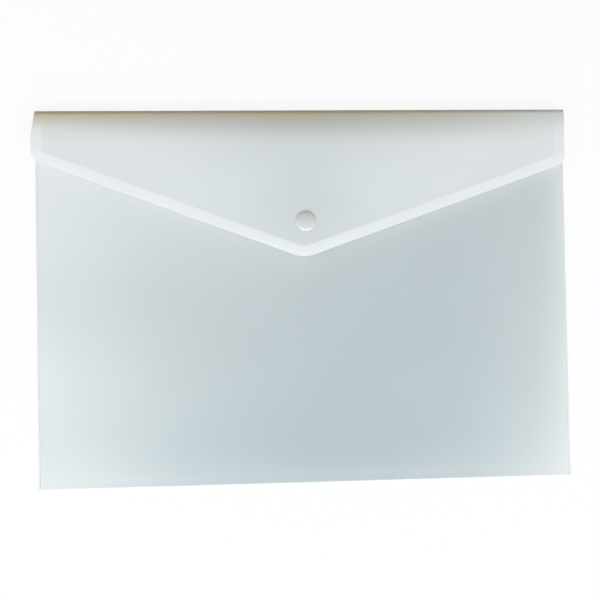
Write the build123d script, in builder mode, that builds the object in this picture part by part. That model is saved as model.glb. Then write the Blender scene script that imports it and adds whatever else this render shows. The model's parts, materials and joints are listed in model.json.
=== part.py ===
from build123d import *
import os
from math import atan2, cos, degrees, radians, sin

# A translucent polypropylene wallet for A4 papers: one die-cut sheet folded at the bottom and at the top,
# welded along both sides, and shut by a pointed flap with a four-piece plastic snap.
# It lies on its back. X runs across it, Y towards the top fold and Z up out of its front,
# and the origin is under the middle of the back panel.

# Sheet and pocket, in millimetres
sheet = 0.3  # thickness of the polypropylene sheet
pocket_width = 335.0  # outside, over both side welds
pocket_length = 234.4  # outside, from the bottom fold to the top fold
pocket_gap = 4.8  # room for papers between the two panels
crease_gap = 0.4  # inside of the pressed bottom fold
side_margin = 1.6  # flat edge of the front panel beside a weld or the bottom fold
side_swell = 36.0  # width over which the front panel rises from each side
foot_swell = 36.0  # length over which it rises from the bottom fold
mouth_drop = 14.0  # from the top fold down to the front panel's open edge
weld_width = 1.2  # melted bead along each side
weld_round = 0.45  # rounding of the bead's outer edges

# Flap
fold_radius = 3.6  # inside of the tight part of the top fold
fold_turn = 170.0  # degrees that the tight part turns; a soft roll makes up the half turn
fold_land = 1.5  # flat strip of the back sheet that bends with the fold
flap_side = 33.0  # from the top fold to the ends of the slanting edges
flap_length = 93.6  # from the top fold to where the slanting edges would meet
tip_radius = 18.0
corner_radius = 7.0
border_width = 6.3  # pressed band along the flap's edges
border_rise = 0.15  # step of the band above the middle of the flap
border_stop = 9.0  # from the top fold to the upper ends of the band
tip_lift = 0.7  # air under the flap's point

# Snap
snap_setback = 23.2  # from where the flap's slanting edges would meet back to the snap
seat_margin = 0.8  # flat sheet round each cap
cap_radius = 6.2
cap_height = 1.7  # whole dome
cap_rim = 0.7  # straight edge under the dome
cap_round = 0.5
post_radius = 1.2
head_radius = 1.7  # rivet head on the end of a post
head_height = 0.4
flange_radius = 5.2  # discs of the stud and the socket
flange = 0.8
bulb_radius = 2.2  # widest part of the stud's knob
neck_radius = 1.9
neck_length = 0.7
knob_length = 1.45
recess_depth = 0.45  # hollow in the knob for the rivet head
socket_height = 2.8
socket_wall = 1.6  # ring round the socket's mouth
lip_height = 0.7  # inward lip that holds the knob
lip_depth = 0.4
lip_chamfer = 0.2

# Clearances and cuts
fit = 0.05  # round a post or a rivet head
snap_clearance = 0.2  # round the knob at the socket's lip
snap_gap = 0.1  # between the two halves of the closed snap
overrun = 1.0  # by which a cut passes its face

# Places that follow from the sizes
half_width = pocket_width / 2
blank_half = half_width - weld_width
top_y = pocket_length / 2
crease_radius = crease_gap / 2 + sheet
crease_y = crease_radius - top_y
mouth_y = top_y - mouth_drop
tip_y = top_y - flap_length
snap_y = tip_y + snap_setback
margin_level = sheet + crease_gap
front_level = sheet + pocket_gap
front_top = front_level + sheet
weld_height = margin_level + sheet
snap_stack = socket_height + snap_gap + flange
flap_level = front_top + snap_stack
flap_top = flap_level + sheet
fold_outside = fold_radius + sheet
fold_y = top_y - fold_outside
fold_z = fold_outside
roll_turn = 180 - fold_turn
roll_rise = flap_level - fold_z + fold_radius * cos(radians(fold_turn))
roll_radius = roll_rise / (1 - cos(radians(roll_turn)))
seat_y = snap_y - cap_radius - seat_margin
droop_turn = 2 * atan2(snap_stack - tip_lift, seat_y - tip_y)
droop_radius = (seat_y - tip_y) / sin(droop_turn)
hole_radius = post_radius + fit
recess_radius = head_radius + fit
stud_level = flap_level - flange
knob_level = stud_level - knob_length
lip_radius = bulb_radius + snap_clearance
snap_plane = Plane((0, snap_y, 0), x_dir=(1, 0, 0), z_dir=(0, -1, 0))
snap_axis = Axis((0, snap_y, 0), (0, 0, 1))


def swell(start, run, skin):
    """Draw the gentle rise of the front panel, skin outside its inner face, and return its end."""
    turn = 2 * atan2(front_level - margin_level, run)
    radius = run / (2 * sin(turn))
    foot = JernArc(start, (1, 0), radius - skin, degrees(turn))
    crest = JernArc(foot @ 1, foot % 1, radius + skin, -degrees(turn))
    return crest @ 1


def pillow(skin, reach):
    """The block under the front panel, skin outside its inner face, with its open sides moved out by reach."""
    margin, crown = margin_level + skin, front_level + skin
    side, foot, mouth = blank_half + reach, crease_y - reach, mouth_y + reach
    side_rise = (side_margin - blank_half, margin)
    foot_rise = (side_margin + crease_y, margin)
    with BuildPart() as block:
        with BuildSketch(Plane.XZ):
            with BuildLine():
                Polyline((0, -reach), (-side, -reach), (-side, margin), side_rise)
                Line(swell(side_rise, side_swell, skin), (0, crown))
                mirror(about=Plane.YZ)
            make_face()
        extrude(amount=pocket_length, both=True)
        with BuildSketch(Plane.YZ):
            with BuildLine():
                Polyline((mouth, -reach), (foot, -reach), (foot, margin), foot_rise)
                Polyline(swell(foot_rise, foot_swell, skin), (mouth, crown), (mouth, -reach))
            make_face()
        extrude(amount=pocket_width, both=True, mode=Mode.INTERSECT)
    return block.part


def flap_line(skin):
    """Draw the flap from the side, skin outside its inner face, and return its two ends."""
    angle = radians(fold_turn)
    root = Vector(fold_y, fold_z) + Vector(sin(angle), -cos(angle)) * (fold_radius + skin)
    roll = JernArc(root, (cos(angle), sin(angle)), roll_radius + skin, roll_turn)
    seat = Line(roll @ 1, (seat_y, flap_level + skin))
    droop = JernArc(seat @ 1, seat % 1, droop_radius + skin, degrees(droop_turn))
    return root, droop @ 1


def flap_section(low, high):
    """The side view of a layer of the flap, between two distances from its inner face."""
    with BuildSketch() as section:
        with BuildLine():
            low_root, low_tip = flap_line(low)
            high_root, high_tip = flap_line(high)
            Line(low_root, high_root)
            Line(low_tip, high_tip)
        make_face()
    return section.sketch


def flap_plan(inset):
    """The flap's outline from above, its side and slanting edges moved in by inset."""
    back_y = top_y + border_width
    with BuildSketch() as plan:
        with BuildLine():
            FilletPolyline(
                (blank_half, back_y),
                (blank_half, top_y - flap_side),
                (0, tip_y),
                (-blank_half, top_y - flap_side),
                (-blank_half, back_y),
                radius=[corner_radius, tip_radius, corner_radius],
            )
            Line((-blank_half, back_y), (blank_half, back_y))
        make_face()
        offset(amount=-inset)
    return plan.sketch


def rivet_cap(base, side, grip):
    """A cap on the sheet at height base, domed towards side, its post headed over beyond the grip."""
    seat = base - side * grip
    end = seat - side * head_height
    crown = (0, base + side * cap_height)
    brim = (cap_radius, base + side * cap_rim)
    with BuildPart() as cap:
        with BuildSketch(snap_plane):
            with BuildLine():
                TangentArc(crown, brim, tangent=(1, 0))
                Polyline(brim, (cap_radius, base), (post_radius, base), (post_radius, seat))
                Polyline((post_radius, seat), (head_radius, seat), (head_radius, end), (0, end), crown)
            make_face()
            fillet(vertices().sort_by_distance(brim)[0], cap_round)
        revolve(axis=snap_axis)
    return cap.part


# Back panel, between the side welds
with BuildPart() as back_panel:
    with BuildSketch():
        back_end = fold_y - fold_land
        with Locations((0, back_end)):
            Rectangle(2 * blank_half, back_end - crease_y, align=(Align.CENTER, Align.MAX))
    extrude(amount=sheet)

# Pressed fold that turns the back sheet into the front
with BuildPart() as bottom_fold:
    with BuildSketch(Plane.YZ):
        with BuildLine():
            inside = CenterArc((crease_y, crease_radius), crease_gap / 2, 90, 180)
            outside = CenterArc((crease_y, crease_radius), crease_radius, 90, 180)
            Line(inside @ 0, outside @ 0)
            Line(inside @ 1, outside @ 1)
        make_face()
    extrude(amount=blank_half, both=True)

# Side welds: both sheets melted into one rounded bead up to the mouth
with BuildPart() as right_weld:
    with BuildSketch(Plane.XZ.offset(-mouth_y)):
        with Locations((half_width, 0)):
            Rectangle(weld_width, weld_height, align=(Align.MAX, Align.MIN))
        fillet(vertices().group_by(Axis.X)[-1], weld_round)
    extrude(amount=mouth_y + top_y)

with BuildPart() as left_weld:
    mirror(right_weld.part, about=Plane.YZ)

# Front panel: a shell that swells from both welds and from the bottom fold to a flat middle
with BuildPart() as front_panel:
    add(pillow(sheet, 0))
    add(pillow(0, overrun), mode=Mode.SUBTRACT)
    with Locations((0, snap_y)):
        Hole(hole_radius)

# Top fold, the living hinge of the flap
with BuildPart() as top_fold:
    with BuildSketch(Plane.YZ):
        with BuildLine():
            inside = CenterArc((fold_y, fold_z), fold_radius, -90, fold_turn)
            outside = CenterArc((fold_y, fold_z), fold_outside, -90, fold_turn)
            Line(inside @ 1, outside @ 1)
            Polyline(inside @ 0, (fold_y - fold_land, sheet), (fold_y - fold_land, 0), outside @ 0)
        make_face()
    extrude(amount=blank_half, both=True)

# Flap: rolled sheet cut to its pointed outline, with the middle pressed lower than the border
with BuildPart() as pressed_middle:
    with BuildSketch(Plane.YZ):
        add(flap_section(sheet, sheet + border_rise + overrun))
    extrude(amount=half_width, both=True)
    with BuildSketch():
        add(flap_plan(border_width))
        with Locations((0, top_y - border_stop)):
            Rectangle(pocket_width, border_stop, align=(Align.CENTER, Align.MIN))
    extrude(amount=flap_top + border_rise + overrun, mode=Mode.INTERSECT)

with BuildPart() as flap_panel:
    with BuildSketch(Plane.YZ):
        add(flap_section(0, sheet + border_rise))
    extrude(amount=half_width, both=True)
    with BuildSketch():
        add(flap_plan(0))
    extrude(amount=flap_top + border_rise, mode=Mode.INTERSECT)
    add(pressed_middle.part, mode=Mode.SUBTRACT)
    with Locations((0, snap_y)):
        Hole(hole_radius)

# Snap: a riveted cap and stud on the flap, a socket and riveted cap on the front panel
with BuildPart() as flap_snap_cap:
    add(rivet_cap(flap_top, 1, sheet + flange + knob_length - recess_depth))

with BuildPart() as flap_snap_stud:
    with BuildSketch(snap_plane):
        with BuildLine():
            neck = (neck_radius, stud_level - neck_length)
            bulge = (bulb_radius, (stud_level - neck_length + knob_level) / 2)
            tip = ((bulb_radius + recess_radius) / 2, knob_level)
            recess = knob_level + recess_depth
            disc = Polyline((hole_radius, flap_level), (flange_radius, flap_level), (flange_radius, stud_level))
            Polyline(disc @ 1, (neck_radius, stud_level), neck)
            ThreePointArc(neck, bulge, tip)
            Polyline(tip, (recess_radius, knob_level), (recess_radius, recess), (hole_radius, recess), disc @ 0)
        make_face()
    revolve(axis=snap_axis)

with BuildPart() as front_snap_socket:
    with BuildSketch(snap_plane):
        with BuildLine():
            floor = front_top + flange
            rim = front_top + socket_height
            ledge = rim - lip_height
            ring_radius = lip_radius + socket_wall
            cavity_radius = lip_radius + lip_depth
            disc = Polyline((hole_radius, front_top), (flange_radius, front_top), (flange_radius, floor))
            ring = Polyline(disc @ 1, (ring_radius, floor), (ring_radius, rim), (lip_radius, rim))
            lip = Polyline(ring @ 1, (lip_radius, ledge), (cavity_radius, ledge), (cavity_radius, floor))
            Polyline(lip @ 1, (hole_radius, floor), disc @ 0)
        make_face()
        chamfer(vertices().group_by(Axis.Y)[-1], lip_chamfer)
    revolve(axis=snap_axis)

with BuildPart() as front_snap_cap:
    add(rivet_cap(front_level, -1, sheet + flange))

# One file for each piece
pieces = {
    "back_panel": back_panel,
    "bottom_fold": bottom_fold,
    "left_weld": left_weld,
    "right_weld": right_weld,
    "front_panel": front_panel,
    "top_fold": top_fold,
    "flap_panel": flap_panel,
    "flap_snap_cap": flap_snap_cap,
    "flap_snap_stud": flap_snap_stud,
    "front_snap_socket": front_snap_socket,
    "front_snap_cap": front_snap_cap,
}
os.makedirs("parts", exist_ok=True)
for name, piece in pieces.items():
    piece.part.label = name
    export_step(piece.part, f"parts/{name}.step")
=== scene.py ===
"""Looks of a translucent document wallet: its sheet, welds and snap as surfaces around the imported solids."""

import json
import logging
import math
from dataclasses import dataclass
from enum import Enum

import bmesh
import bpy
import numpy as np
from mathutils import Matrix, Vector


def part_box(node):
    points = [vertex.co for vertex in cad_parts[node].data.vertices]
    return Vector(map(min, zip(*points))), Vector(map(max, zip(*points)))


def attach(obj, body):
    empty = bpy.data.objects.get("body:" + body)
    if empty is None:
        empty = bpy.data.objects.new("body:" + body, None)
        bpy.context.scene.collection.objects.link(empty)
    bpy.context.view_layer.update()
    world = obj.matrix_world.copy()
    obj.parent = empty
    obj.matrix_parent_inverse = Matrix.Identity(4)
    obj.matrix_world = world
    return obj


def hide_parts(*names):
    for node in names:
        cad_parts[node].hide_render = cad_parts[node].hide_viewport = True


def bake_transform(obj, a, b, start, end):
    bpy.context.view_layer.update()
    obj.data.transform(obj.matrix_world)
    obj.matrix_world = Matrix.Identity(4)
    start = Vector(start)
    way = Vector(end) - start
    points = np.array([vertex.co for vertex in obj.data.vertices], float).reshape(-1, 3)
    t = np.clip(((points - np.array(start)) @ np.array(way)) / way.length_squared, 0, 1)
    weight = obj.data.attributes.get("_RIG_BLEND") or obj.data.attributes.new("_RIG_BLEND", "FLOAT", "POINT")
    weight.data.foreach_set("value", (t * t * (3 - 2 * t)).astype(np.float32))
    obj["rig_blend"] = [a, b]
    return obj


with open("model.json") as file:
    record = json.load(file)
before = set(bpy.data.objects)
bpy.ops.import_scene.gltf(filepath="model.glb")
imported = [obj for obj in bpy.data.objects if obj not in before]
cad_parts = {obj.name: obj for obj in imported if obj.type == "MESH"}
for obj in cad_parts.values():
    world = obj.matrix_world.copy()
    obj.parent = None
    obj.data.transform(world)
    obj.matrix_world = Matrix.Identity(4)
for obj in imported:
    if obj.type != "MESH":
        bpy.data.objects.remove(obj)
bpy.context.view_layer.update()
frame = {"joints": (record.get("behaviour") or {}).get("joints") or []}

LOG = logging.getLogger("document_wallet")
Array = np.ndarray
Colour = tuple[float, float, float]
Point = tuple[float, float, float]
Pair = tuple[float, float]
Socket = bpy.types.NodeSocket

# A millimetre in metres. Sizes are in millimetres unless their text says otherwise.
MM = 0.001
# Points of a closed surface that lie closer than this are one point.
MERGE_DISTANCE = 0.0005

# The sheets' map and attributes.
FLAT_MAP = "flat_blank"
# Band whitened by pressing, with a painted highlight at the flap's cut edge and a painted glow on the front
# panel.
BAND_AND_HIGHLIGHT = "pressed_band_and_highlight"
# Layers lying close make the sheet whiter; this attribute also carries painted light and shade.
LAYER_AND_PAINTED_SHADE = "layer_and_painted_shade"
# Painted warm reflection and shade along the upper side of the top fold.
FOLD_PAINTED_SHADE = "fold_painted_shade"
BEND = "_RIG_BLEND"

# Socket numbers of Blender's mix node when it mixes colours.
MIX_SHARE, MIX_FIRST, MIX_SECOND, MIX_RESULT = 0, 6, 7, 2

UNIT: Pair = (0.0, 1.0)
BLACK: Colour = (0.0, 0.0, 0.0)
WHITE: Colour = (1.0, 1.0, 1.0)


class Body(Enum):
    """The two bodies that the top fold joins."""

    POCKET = "pocket"
    FLAP = "flap"


class Slot(Enum):
    """Material slots of the record."""

    SHEET = "frosted_sheet"
    WELD = "weld_bead"
    SNAP = "snap_plastic"


def smoothstep(value: Array) -> Array:
    """Eases a share from 0 to 1, flat at both ends: t squared times (3 - 2t), with t held between 0 and 1."""
    t = np.clip(value, 0.0, 1.0)
    return t * t * (3.0 - 2.0 * t)


def ease_across(distance: Array, width: float) -> Array:
    """Eases from 0 to 1 across a line, over a width that lies half before the line and half past it."""
    return smoothstep(distance / width + 0.5)


def soft_start(t: Array, softness: float) -> Array:
    """Ramps from 0 to 1 with a rounded start: √(t² + s²) - s over its value at 1, s being the softness."""
    return (np.hypot(t, softness) - softness) / (math.hypot(1.0, softness) - softness)


def darker(colour: Colour, share: float) -> Colour:
    """Takes a colour down to a share of its brightness."""
    return tuple(share * part for part in colour)


def node_box(node: str) -> tuple[Array, Array]:
    """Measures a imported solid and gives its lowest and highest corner."""
    low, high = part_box(node)
    return np.array(low) / MM, np.array(high) / MM


def grid_object(name: str, grid: Array) -> bpy.types.Object:
    """Makes a smooth object at the origin from a grid, with a face between each four neighbours.

    Args:
        name: Name of the piece.
        grid: Places, as rows, columns and three coordinates.

    Returns:
        The linked object.
    """
    rows, columns = grid.shape[:2]
    index = np.arange(rows * columns).reshape(rows, columns)
    corners = (index[:-1, :-1], index[:-1, 1:], index[1:, 1:], index[1:, :-1])
    quads = np.stack(corners, axis=-1).reshape(-1, 4)
    mesh = bpy.data.meshes.new(name)
    mesh.from_pydata((grid.reshape(-1, 3) * MM).tolist(), [], quads.tolist())
    mesh.shade_smooth()
    made = bpy.data.objects.new(name, mesh)
    bpy.context.scene.collection.objects.link(made)
    return made


def sheet_object(name: str, grid: Array, across: Array, direction: float) -> bpy.types.Object:
    """Makes a sheet with the map of its flat blank, in metres, so that its grain follows the folds.

    The map's second coordinate is the length along each column, summed up from row to row.

    Args:
        name: Name of the piece.
        grid: Places, as rows, columns and three coordinates.
        across: Places of the columns across the flat blank, as one row.
        direction: 1 or -1, the way in which the rows run along the blank.

    Returns:
        The linked object.
    """
    steps = np.linalg.norm(np.diff(grid, axis=0), axis=-1)
    along = direction * np.concatenate((np.zeros_like(across), np.cumsum(steps, axis=0)))
    flat = np.stack((across + 0.0 * along, along), axis=-1).reshape(-1, 2) * MM
    piece = grid_object(name, grid)
    corner = np.zeros(len(piece.data.loops), dtype=np.int32)
    piece.data.loops.foreach_get("vertex_index", corner)
    layer = piece.data.uv_layers.new(name=FLAT_MAP)
    layer.data.foreach_set("uv", flat[corner].astype(np.float32).ravel())
    return piece


def close_surface(piece: bpy.types.Object, sharp_degrees: float) -> None:
    """Joins the seam and the poles of a closed grid, turns its faces outwards and marks its sharp edges.

    Args:
        piece: Object whose grid meets itself.
        sharp_degrees: Angle between faces from which an edge is sharp.
    """
    work = bmesh.new()
    work.from_mesh(piece.data)
    bmesh.ops.remove_doubles(work, verts=work.verts, dist=MERGE_DISTANCE * MM)
    bmesh.ops.recalc_face_normals(work, faces=work.faces)
    work.to_mesh(piece.data)
    work.free()
    piece.data.shade_smooth()
    piece.data.set_sharp_from_angle(angle=math.radians(sharp_degrees))


def set_points(piece: bpy.types.Object, name: str, values: Array) -> None:
    """Writes one number for each vertex of a piece, in the vertices' order, under an attribute's name."""
    attribute = piece.data.attributes.get(name) or piece.data.attributes.new(name, "FLOAT", "POINT")
    attribute.data.foreach_set("value", np.ascontiguousarray(values, dtype=np.float32).ravel())


@dataclass(frozen=True)
class Grain:
    """Fine relief of a finish.

    Attributes:
        scale: Grains in a metre.
        strength: Share of the relief that shows.
        height: Height of the relief.
        detail: Count of finer layers.
        roughness: Strength of the finer layers.
    """

    scale: float
    strength: float
    height: float
    detail: float = 2.0
    roughness: float = 0.5


class Graph:
    """Nodes of a material or a world under construction, with short ways to add and join them."""

    def __init__(self, owner: bpy.types.ID) -> None:
        """Empties the nodes of a new material or world.

        Args:
            owner: The material or world.
        """
        owner.use_nodes = True
        self.owner = owner
        self.tree = owner.node_tree
        self.tree.nodes.clear()

    @classmethod
    def of_material(cls, name: str) -> "Graph":
        """Starts a new material of that name."""
        return cls(bpy.data.materials.new(name))

    def add(self, kind: str, settings: dict[str, str] | None = None, **inputs: object) -> bpy.types.Node:
        """Adds a node.

        Args:
            kind: Blender's name for the node.
            settings: Properties of the node.
            inputs: Values of its inputs by their names, with underscores for spaces.

        Returns:
            The new node.
        """
        node = self.tree.nodes.new(kind)
        for key, value in (settings or {}).items():
            setattr(node, key, value)
        for key, value in inputs.items():
            self.feed(node.inputs[key.replace("_", " ")], value)
        return node

    def feed(self, target: Socket, value: object) -> None:
        """Joins a socket to an input, or sets the input's own value.

        Args:
            target: The input.
            value: Socket, number or colour of three parts.
        """
        if isinstance(value, Socket):
            self.tree.links.new(value, target)
        elif target.type == "RGBA":
            target.default_value = (*value, 1.0)
        else:
            target.default_value = value

    def attribute(self, name: str) -> Socket:
        """Reads a number that the vertices carry."""
        return self.add("ShaderNodeAttribute", {"attribute_name": name}).outputs["Fac"]

    def noise(self, place: Socket, scale: float, detail: float = 2.0, roughness: float = 0.5) -> Socket:
        """Adds noise with so many lumps in a metre and gives its grey value."""
        values = {"Vector": place, "Scale": scale, "Detail": detail, "Roughness": roughness}
        return self.add("ShaderNodeTexNoise", **values).outputs[0]

    def relief(self, place: Socket, grain: Grain) -> Socket:
        """Adds the noise of a grain and gives its height, from 0 to 1."""
        return self.noise(place, grain.scale, grain.detail, grain.roughness)

    def remap(self, value: Socket, source: Pair, target: Pair) -> Socket:
        """Maps a value smoothly from one range to another, held at the ends.

        Args:
            value: Socket of the value.
            source: Start and end of its range.
            target: Results there.

        Returns:
            Socket of the mapped value.
        """
        node = self.add("ShaderNodeMapRange", {"interpolation_type": "SMOOTHSTEP"}, Value=value)
        for key, number in zip(("From Min", "From Max", "To Min", "To Max"), (*source, *target)):
            node.inputs[key].default_value = number
        return node.outputs[0]

    def chain(self, kind: str, *values: object, **settings: str) -> Socket:
        """Adds a node and feeds its first inputs in their order.

        Args:
            kind: Blender's name for the node.
            values: Sockets, numbers or colours for those inputs.
            settings: Properties of the node.

        Returns:
            Socket of the node's first output.
        """
        node = self.add(kind, settings)
        for target, value in zip(node.inputs, values):
            self.feed(target, value)
        return node.outputs[0]

    def mix(self, share: object, first: object, second: object) -> Socket:
        """Mixes two colours.

        Args:
            share: Share of the second colour.
            first: Colour or socket at share 0.
            second: Colour or socket at share 1.

        Returns:
            Socket of the mixed colour.
        """
        node = self.add("ShaderNodeMix", {"data_type": "RGBA"})
        for slot, value in ((MIX_SHARE, share), (MIX_FIRST, first), (MIX_SECOND, second)):
            self.feed(node.inputs[slot], value)
        return node.outputs[MIX_RESULT]

    def plastic(
        self, colour: Socket, rough: Socket, relief: Socket, grain: Grain, ior: float, alpha: float = 1.0
    ) -> bpy.types.Material:
        """Finishes the material as a plastic with a grain.

        Args:
            colour: Socket of the colour.
            rough: Socket of the roughness.
            relief: Socket of the grain's height, from 0 to 1.
            grain: The grain.
            ior: Refractive index.
            alpha: How solid it is to the eye.

        Returns:
            The finished material.
        """
        bump = self.add("ShaderNodeBump", Height=relief, Strength=grain.strength, Distance=grain.height * MM)
        shader = self.add(
            "ShaderNodeBsdfPrincipled",
            Base_Color=colour,
            Roughness=rough,
            IOR=ior,
            Alpha=alpha,
            Normal=bump.outputs[0],
        )
        return self.output(shader.outputs[0])

    def output(self, shader: Socket) -> bpy.types.Material:
        """Joins a shader to the material's surface and returns the material."""
        self.add("ShaderNodeOutputMaterial", Surface=shader)
        return self.owner


@dataclass(frozen=True)
class FrostedSheet:
    """Milky polypropylene sheet with a satin grain, whiter where it is pressed or backed by a layer, with
    painted light, shade, highlights and glow mixed into those colours.

    Attributes:
        backed_and_painted_light_colour: Colour where the next layer touches, also used as painted light.
        clear_and_painted_shade_colour: Colour where there is a gap behind the sheet, also used as painted
            shade.
        fold_painted_shade_colour: Painted warm reflection and shade on the upper side of the top fold.
        pressed_and_highlight_colour: Colour of the band where pressing whitened it, also used for the painted
            highlight of its cut edge and the painted glow on the front panel.
        alpha: How solid the sheet is to the eye.
        ior: Refractive index.
        roughness: Lowest and highest roughness.
        scuff_scale: Duller spots in a metre.
        scuff_detail: Count of their finer layers.
        cloud_scale: Clouds in a metre.
        cloud_detail: Count of their finer layers.
        cloud_share: How much the clouds take off the colour.
        grain: Satin grain.
    """

    backed_and_painted_light_colour: Colour = (0.82, 0.855, 0.848)
    clear_and_painted_shade_colour: Colour = (0.402, 0.486, 0.518)
    fold_painted_shade_colour: Colour = (0.56, 0.41, 0.15)
    pressed_and_highlight_colour: Colour = (0.955, 0.97, 0.98)
    alpha: float = 0.9
    ior: float = 1.49
    roughness: Pair = (0.40, 0.46)
    scuff_scale: float = 45.0
    scuff_detail: float = 1.0
    cloud_scale: float = 14.0
    cloud_detail: float = 3.0
    cloud_share: float = 0.04
    grain: Grain = Grain(2600.0, 0.3, 0.01, 2.0, 0.6)

    def material(self) -> bpy.types.Material:
        """Builds the shader.

        Returns:
            A material that reads the flat blank's map and the band, layer and fold attributes.
        """
        graph = Graph.of_material("frosted_sheet")
        flat = graph.add("ShaderNodeUVMap", {"uv_map": FLAT_MAP}).outputs[0]
        band, backing_and_painted_shade, fold = (graph.attribute(name) for name in (BAND_AND_HIGHLIGHT, LAYER_AND_PAINTED_SHADE, FOLD_PAINTED_SHADE))
        clouds = graph.noise(flat, self.cloud_scale, self.cloud_detail)
        scuffs = graph.noise(flat, self.scuff_scale, self.scuff_detail)
        # Painted light and shade: the layer attribute mixes the whiter and the darker, bluer colour, partly
        # the sheet's translucency.
        layered_and_shaded = graph.mix(backing_and_painted_shade, self.clear_and_painted_shade_colour, self.backed_and_painted_light_colour)
        # Painted warm reflection and shade along the top fold.
        folded = graph.mix(fold, layered_and_shaded, self.fold_painted_shade_colour)
        # Band whitened by pressing, with a painted highlight at its cut edge and a painted glow on the front
        # panel.
        pressed_and_highlight = graph.mix(band, folded, self.pressed_and_highlight_colour)
        colour = graph.mix(graph.remap(clouds, UNIT, (0.0, self.cloud_share)), pressed_and_highlight, BLACK)
        rough = graph.remap(scuffs, UNIT, self.roughness)
        relief = graph.relief(flat, self.grain)
        return graph.plastic(colour, rough, relief, self.grain, self.ior, self.alpha)


@dataclass(frozen=True)
class MeltedBead:
    """Sheet edges melted together: clearer, glossier and slightly rippled.

    Attributes:
        colour: Colour of the bead.
        shade: Brightness of its darker spots, as a share.
        shade_scale: Darker spots in a metre.
        ior: Refractive index.
        roughness: Lowest and highest roughness.
        rough_range: Heights of the ripples between which the roughness changes.
        ripple: Ripples of the bead.
    """

    colour: Colour = (0.78, 0.82, 0.83)
    shade: float = 0.94
    shade_scale: float = 60.0
    ior: float = 1.49
    roughness: Pair = (0.16, 0.3)
    rough_range: Pair = (0.35, 0.65)
    ripple: Grain = Grain(500.0, 0.4, 0.05)

    def material(self) -> bpy.types.Material:
        """Builds the shader.

        Returns:
            A material on object coordinates.
        """
        graph = Graph.of_material("melted_bead")
        place = graph.add("ShaderNodeTexCoord").outputs["Object"]
        relief = graph.relief(place, self.ripple)
        rough = graph.remap(relief, self.rough_range, self.roughness)
        spots = graph.noise(place, self.shade_scale)
        colour = graph.mix(spots, self.colour, darker(self.colour, self.shade))
        return graph.plastic(colour, rough, relief, self.ripple, self.ior)


@dataclass(frozen=True)
class SnapPlastic:
    """Moulded white plastic of the snap, smooth with faint flow marks.

    Attributes:
        colour: Colour of the plastic.
        shade: Brightness of the flow marks, as a share.
        ior: Refractive index.
        roughness: Lowest and highest roughness.
        flow_scale: Flow marks in a metre.
        flow_detail: Count of their finer layers.
        rough_range: Values of the flow marks between which the roughness changes.
        shade_range: Values of the flow marks between which the colour changes.
        grain: Skin of the moulding.
    """

    colour: Colour = (0.655, 0.665, 0.635)
    shade: float = 0.97
    ior: float = 1.5
    roughness: Pair = (0.2, 0.27)
    flow_scale: float = 260.0
    flow_detail: float = 3.0
    rough_range: Pair = (0.35, 0.65)
    shade_range: Pair = (0.3, 0.7)
    grain: Grain = Grain(3000.0, 0.25, 0.01)

    def material(self) -> bpy.types.Material:
        """Builds the shader.

        Returns:
            A material on object coordinates.
        """
        graph = Graph.of_material("snap_plastic")
        place = graph.add("ShaderNodeTexCoord").outputs["Object"]
        flow = graph.noise(place, self.flow_scale, self.flow_detail)
        rough = graph.remap(flow, self.rough_range, self.roughness)
        marks = graph.remap(flow, self.shade_range, UNIT)
        colour = graph.mix(marks, self.colour, darker(self.colour, self.shade))
        return graph.plastic(colour, rough, graph.relief(place, self.grain), self.grain, self.ior)


@dataclass(frozen=True)
class Plan:
    """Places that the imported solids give.

    Attributes:
        sheet: Thickness of the sheet.
        blank_half: Half the width of the folded blank.
        crease_y: Where the back panel meets the bottom fold.
        crease_radius: Outside of the bottom fold.
        margin_top: Outer face of the front panel at its flat edges.
        front_top: Outer face of the front panel in its middle.
        mouth_y: Open edge of the front panel.
        fold_y: Centre of the top fold, along the wallet.
        fold_z: Centre of the top fold, above the table, which is also its outer radius.
        band_top: Top of the pressed band on the flap.
        snap_y: Centre of the snap.
    """

    sheet: float
    blank_half: float
    crease_y: float
    crease_radius: float
    margin_top: float
    front_top: float
    mouth_y: float
    fold_y: float
    fold_z: float
    band_top: float
    snap_y: float

    @classmethod
    def read(cls) -> "Plan":
        """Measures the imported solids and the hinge.

        Returns:
            The plan.
        """
        back_low, back_high = node_box("back_panel")
        front_low, front_high = node_box("front_panel")
        cap_low, cap_high = node_box("flap_snap_cap")
        hinge = np.array(frame["joints"][0]["pos_m"]) / MM
        return cls(
            sheet=back_high[2],
            blank_half=back_high[0],
            crease_y=back_low[1],
            crease_radius=node_box("bottom_fold")[1][2] / 2,
            margin_top=front_low[2] + back_high[2],
            front_top=front_high[2],
            mouth_y=front_high[1],
            fold_y=hinge[1],
            fold_z=hinge[2],
            band_top=node_box("flap_panel")[1][2],
            snap_y=(cap_low[1] + cap_high[1]) / 2,
        )


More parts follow.
